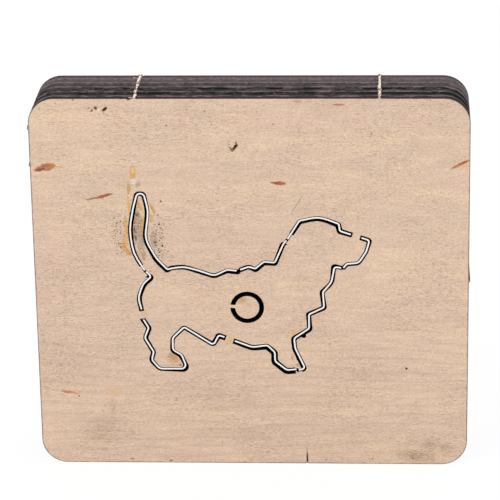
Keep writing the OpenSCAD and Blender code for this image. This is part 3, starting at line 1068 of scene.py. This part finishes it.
@dataclass
class TabSplinters:
    """Torn fibres along the snapped stub of a holding tab; sizes are in millimetres."""

    edge: Edge
    place: float
    spread: float
    seed: int
    name: str
    flags: Sequence[tuple[Pair, float, float]]
    count: int = 11
    lengths: Pair = (1.2, 4.2)
    radii: Pair = (0.05, 0.12)
    lifts: Pair = (-0.02, 0.06)
    yaw: float = 0.14
    flag_lift: float = 0.06
    flag_radius: float = 0.13
    sides: int = 7
    tip: float = 0.2
    squeeze: Triple = (1.3, 1.0, 0.7)

    def build(self, material: bpy.types.Material) -> bpy.types.Object:
        """Makes the fibres.

        Args:
            material: Their finish.

        Returns:
            The piece.
        """
        rng = random.Random(self.seed)
        bm = bmesh.new()
        half = BOARD.thickness / 2
        for _ in range(self.count):
            length = rng.uniform(*self.lengths)
            radius = rng.uniform(*self.radii)
            middle = rng.uniform(-half + length / 2, half - length / 2)
            aside = rng.uniform(-self.spread, self.spread)
            low = BOARD.stub_proud * (1 - min(1.0, abs(aside) / (BOARD.stub / 2))) * 0.6
            lift = min(low + rng.uniform(*self.lifts), BOARD.stub_proud - radius)
            yaw = rng.uniform(-self.yaw, self.yaw)
            self.fibre(bm, (aside, middle, lift), length, radius, yaw)
        for (aside, through), length, yaw in self.flags:
            at = (aside, through, self.flag_lift)
            self.fibre(bm, at, length, self.flag_radius, math.radians(yaw))
        piece = new_piece(self.name, bm, "plywood", True)
        dress(piece, material)
        return piece

    def fibre(
        self, bm: bmesh.types.BMesh, at: Triple, length: float, radius: float, yaw: float
    ) -> None:
        """Adds one flattened, tapering fibre.

        Args:
            bm: The mesh it goes into.
            at: Its middle: along the edge, through the board, and out of the edge.
            length: Its length in millimetres.
            radius: Its thick end's radius.
            yaw: How far it turns from straight through the board, in radians.
        """
        lie = Matrix.Rotation(math.pi / 2, 4, "X")
        flatten = Matrix.Diagonal((*self.squeeze, 1.0))
        spot = Matrix.Translation(Vector(at)) @ Matrix.Rotation(yaw, 4, "Z") @ flatten @ lie
        made = bmesh.ops.create_cone(
            bm, cap_ends=True, segments=self.sides, radius1=radius, radius2=radius * self.tip,
            depth=length, matrix=spot,
        )
        bmesh.ops.transform(bm, matrix=self.onto_edge(), verts=made["verts"])

    def onto_edge(self) -> Matrix:
        """Carries (along, through, out) in millimetres onto the board's edge in metres.

        Returns:
            The transform.
        """
        across, _ = self.edge.value
        half_w, half_h = BOARD.width / 2, BOARD.height / 2
        if self.edge is Edge.TOP:
            turn = Matrix.Identity(4)
            corner = Vector((self.place, 0.0, 2 * half_h))
        else:
            turn = Matrix.Rotation(across * math.pi / 2, 4, "Y")
            corner = Vector((across * half_w, 0.0, half_h + self.place))
        return Matrix.Scale(MM, 4) @ Matrix.Translation(corner) @ turn


@dataclass
class DieBoard:
    """The plywood board with the stubs of its holding tabs."""

    node: str = "die_board"
    lip: float = 0.07
    spreads: Pair = (0.3, 0.2)
    first_seed: int = 7
    first_flags: tuple[tuple[Pair, float, float], ...] = (
        ((-0.75, 6.6), 2.4, 62.0),
        ((0.35, 8.3), 1.6, -70.0),
        ((-0.45, -8.55), 1.7, 82.0),
        ((0.1, -6.6), 2.6, 16.0),
    )
    stubs: dict[Edge, Pair] = field(
        default_factory=lambda: {Edge.TOP: (-25.75, 29.5), Edge.LEFT: (29.25, 38.0)}
    )

    def build(self) -> Iterable[bpy.types.Object]:
        """Dresses the board and adds the splinters of its stubs.

        Yields:
            Each piece.
        """
        board = eased(self.node, "die_board_ply", "plywood", self.lip)
        dress(board, BirchPly().material(self.stubs))
        yield board
        torn = TornBirch().material()
        for edge, places in self.stubs.items():
            for number, place in enumerate(places):
                name = f"tab_splinters_{edge.name.lower()}_{number + 1}"
                flags = self.first_flags if edge is Edge.TOP and number == 0 else ()
                seed = self.first_seed + number
                yield TabSplinters(edge, place, self.spreads[number], seed, name, flags).build(torn)


@dataclass
class CuttingRule:
    """The five lengths of bent steel rule."""

    nodes: tuple[str, ...] = (
        "rule_tail_back", "rule_saddle_neck", "rule_head_muzzle", "rule_chest_foreleg",
        "rule_belly_hind",
    )
    rounding: float = 0.05

    def build(self) -> Iterable[bpy.types.Object]:
        """Dresses each length of rule.

        Yields:
            Each length.
        """
        steel = RuleSteel().material()
        for node in self.nodes:
            rule = eased(node, node + "_steel", "rule_steel", self.rounding)
            dress(rule, steel)
            yield rule


@dataclass
class EjectionPads:
    """The rubber blocks that push the cut piece off the rule."""

    nodes: tuple[str, ...] = (
        "pad_hindquarter", "pad_trunk", "pad_head", "pad_tail_side", "pad_rump_side", "pad_back",
        "pad_crown", "pad_muzzle", "pad_chest", "pad_belly", "pad_feet",
    )
    voxel: float = 0.4
    seat: float = 0.52
    rounds: int = 5
    swell: float = 0.16
    swell_scale: float = 0.16
    grit: float = 0.035
    grit_scale: float = 1.3

    def build(self) -> Iterable[bpy.types.Object]:
        """Makes each block in the place of its plain solid.

        Yields:
            Each block.
        """
        rubber = EjectionRubber().material()
        for node in self.nodes:
            block = new_piece(node + "_rubber", self.cut_block(node), "ejection_rubber", True)
            dress(block, rubber)
            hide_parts(node)
            yield block

    def cut_block(self, node: str) -> bmesh.types.BMesh:
        """Cuts one block: soft edges, slightly uneven faces, flat on the board.

        Args:
            node: The plain solid it stands for.

        Returns:
            The block's mesh, in place.
        """
        bm = self.remeshed(node)
        for _ in range(self.rounds):
            bmesh.ops.smooth_vert(
                bm, verts=bm.verts, factor=0.5, use_axis_x=True, use_axis_y=True, use_axis_z=True
            )
        bm.normal_update()
        for vert in bm.verts:
            where = vert.co / MM
            wave = noise.noise(where * self.swell_scale) * self.swell
            wave += noise.noise(where * self.grit_scale) * self.grit
            vert.co += vert.normal * wave * MM
        keep_in_box(bm, node)
        low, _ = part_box(node)
        for vert in bm.verts:
            if vert.normal.y < -0.6 and vert.co.y < low.y + self.seat * MM:
                vert.co.y = low.y
        return bm

    def remeshed(self, node: str) -> bmesh.types.BMesh:
        """Copies a plain solid with an even net of faces.

        Args:
            node: The solid.

        Returns:
            The new mesh.
        """
        copy = bpy.data.meshes.new(node + "_copy")
        bm = merged(node)
        bm.to_mesh(copy)
        bm.free()
        holder = bpy.data.objects.new(node + "_copy", copy)
        bpy.context.scene.collection.objects.link(holder)
        net = holder.modifiers.new("net", "REMESH")
        net.mode = "VOXEL"
        net.voxel_size = self.voxel * MM
        ready = holder.evaluated_get(bpy.context.evaluated_depsgraph_get())
        result = bmesh.new()
        result.from_mesh(ready.data)
        bpy.data.objects.remove(holder)
        bpy.data.meshes.remove(copy)
        return result


@dataclass
class Studio:
    """The pale floor, the soft light and the camera."""

    azimuth: float = 3.223
    elevation: float = 20.445
    roll: float = -1.0
    distance: float = 0.64837
    target: Triple = (-0.000628, 0.0, 0.050315)
    focal_pixels: float = 2786.3
    frame_pixels: float = 500.0
    sensor: float = 36.0
    clip: Pair = (0.01, 50.0)
    floor_size: float = 8.0
    white: Colour = (1.0, 1.0, 1.0, 1.0)
    paper: Colour = (0.82, 0.82, 0.82, 1.0)
    ambient: float = 0.68
    lift: float = 0.9
    glow: float = 1.03
    lamp_size: float = 0.9
    lamps: tuple[tuple[str, Triple, float], ...] = (
        ("key_light", (-0.75, -1.15, 1.25), 10.3),
        ("fill_light", (0.95, -1.2, 0.5), 3.4),
        ("rear_light", (0.3, 1.3, 1.0), 6.0),
    )

    def build(self) -> None:
        """Sets up the studio."""
        scene = bpy.context.scene
        scene.view_settings.view_transform = "Standard"
        self.world(scene)
        self.floor()
        for name, at, power in self.lamps:
            self.lamp(name, at, power)
        self.camera(scene)

    def camera(self, scene: bpy.types.Scene) -> None:
        """Puts the camera at the photograph's angle.

        Args:
            scene: The scene that it serves.
        """
        az, el, roll = (math.radians(a) for a in (self.azimuth, self.elevation, self.roll))
        back = Vector((math.sin(az) * math.cos(el), -math.cos(az) * math.cos(el), math.sin(el)))
        right = (-back).cross(Vector((0, 0, 1))).normalized()
        up = right.cross(-back)
        turned = math.cos(roll) * right + math.sin(roll) * up
        raised = math.cos(roll) * up - math.sin(roll) * right
        data = bpy.data.cameras.new("camera")
        data.sensor_width = self.sensor
        data.lens = self.focal_pixels / self.frame_pixels * self.sensor
        data.clip_start, data.clip_end = self.clip
        camera = bpy.data.objects.new("camera", data)
        pose = Matrix((turned, raised, back)).transposed().to_4x4()
        pose.translation = Vector(self.target) + back * self.distance
        camera.matrix_world = pose
        scene.collection.objects.link(camera)
        scene.camera = camera

    def lamp(self, name: str, at: Triple, power: float) -> None:
        """Hangs one soft lamp that points at the die.

        Args:
            name: Its name.
            at: Its place in metres.
            power: Its power in watts.
        """
        data = bpy.data.lights.new(name, "AREA")
        data.shape, data.size, data.energy = "SQUARE", self.lamp_size, power
        lamp = bpy.data.objects.new(name, data)
        lamp.location = at
        lamp.rotation_euler = (Vector(self.target) - Vector(at)).to_track_quat("-Z", "Y").to_euler()
        bpy.context.scene.collection.objects.link(lamp)

    def for_camera(
        self, tree: Tree, share: float, lit: bpy.types.Node, shown: bpy.types.Node
    ) -> Socket:
        """Shows the camera one shader, straight, in metal or through glass, and all else another.

        Args:
            tree: The node tree that they are in.
            share: How much of its own shader the camera gets.
            lit: The shader for all other rays.
            shown: The camera's shader.

        Returns:
            The two in one.
        """
        path = add_node(tree, "ShaderNodeLightPath").outputs
        total = path["Is Camera Ray"]
        for name in ("Is Glossy Ray", "Is Transmission Ray"):
            settings = {"operation": "ADD", "use_clamp": True}
            total = add_node(tree, "ShaderNodeMath", settings, {0: total, 1: path[name]}).outputs[0]
        part = add_node(tree, "ShaderNodeMath", {"operation": "MULTIPLY"}, {0: total, 1: share})
        inputs = {0: part.outputs[0], 1: lit.outputs[0], 2: shown.outputs[0]}
        return add_node(tree, "ShaderNodeMixShader", None, inputs).outputs[0]

    def world(self, scene: bpy.types.Scene) -> None:
        """Lights the room evenly and shows it white.

        Args:
            scene: The scene that it serves.
        """
        world = bpy.data.worlds.new("studio")
        scene.world = world
        world.use_nodes = True
        tree = world.node_tree
        tree.nodes.clear()
        room, shown = (
            add_node(tree, "ShaderNodeBackground", None, {"Color": self.white, "Strength": level})
            for level in (self.ambient, 1.0)
        )
        add_node(tree, "ShaderNodeOutputWorld", None, {0: self.for_camera(tree, 1.0, room, shown)})

    def floor(self) -> None:
        """Lays the plain white floor, which keeps a faint shadow."""
        bm = bmesh.new()
        bmesh.ops.create_grid(bm, x_segments=2, y_segments=2, size=self.floor_size / 2)
        mesh = bpy.data.meshes.new("floor")
        bm.to_mesh(mesh)
        bm.free()
        floor = bpy.data.objects.new("floor", mesh)
        bpy.context.scene.collection.objects.link(floor)
        material = bpy.data.materials.new("floor_white")
        material.use_nodes = True
        tree = material.node_tree
        tree.nodes.clear()
        paper = add_node(tree, "ShaderNodeBsdfDiffuse", None, {"Color": self.paper})
        glow = add_node(tree, "ShaderNodeEmission", None, {"Strength": self.glow})
        surface = self.for_camera(tree, self.lift, paper, glow)
        add_node(tree, "ShaderNodeOutputMaterial", None, {0: surface})
        dress(floor, material)


def main() -> None:
    """Builds the die's looks in order and reports each piece."""
    logging.basicConfig(level=logging.INFO, format="%(name)s: %(message)s")
    Studio().build()
    for assembly in (DieBoard(), CuttingRule(), EjectionPads()):
        for piece in assembly.build():
            faces = len(piece.data.polygons)
            LOG.info("%s: %s, %d faces", type(assembly).__name__, piece.name, faces)


if __name__ == "__main__":
    main()
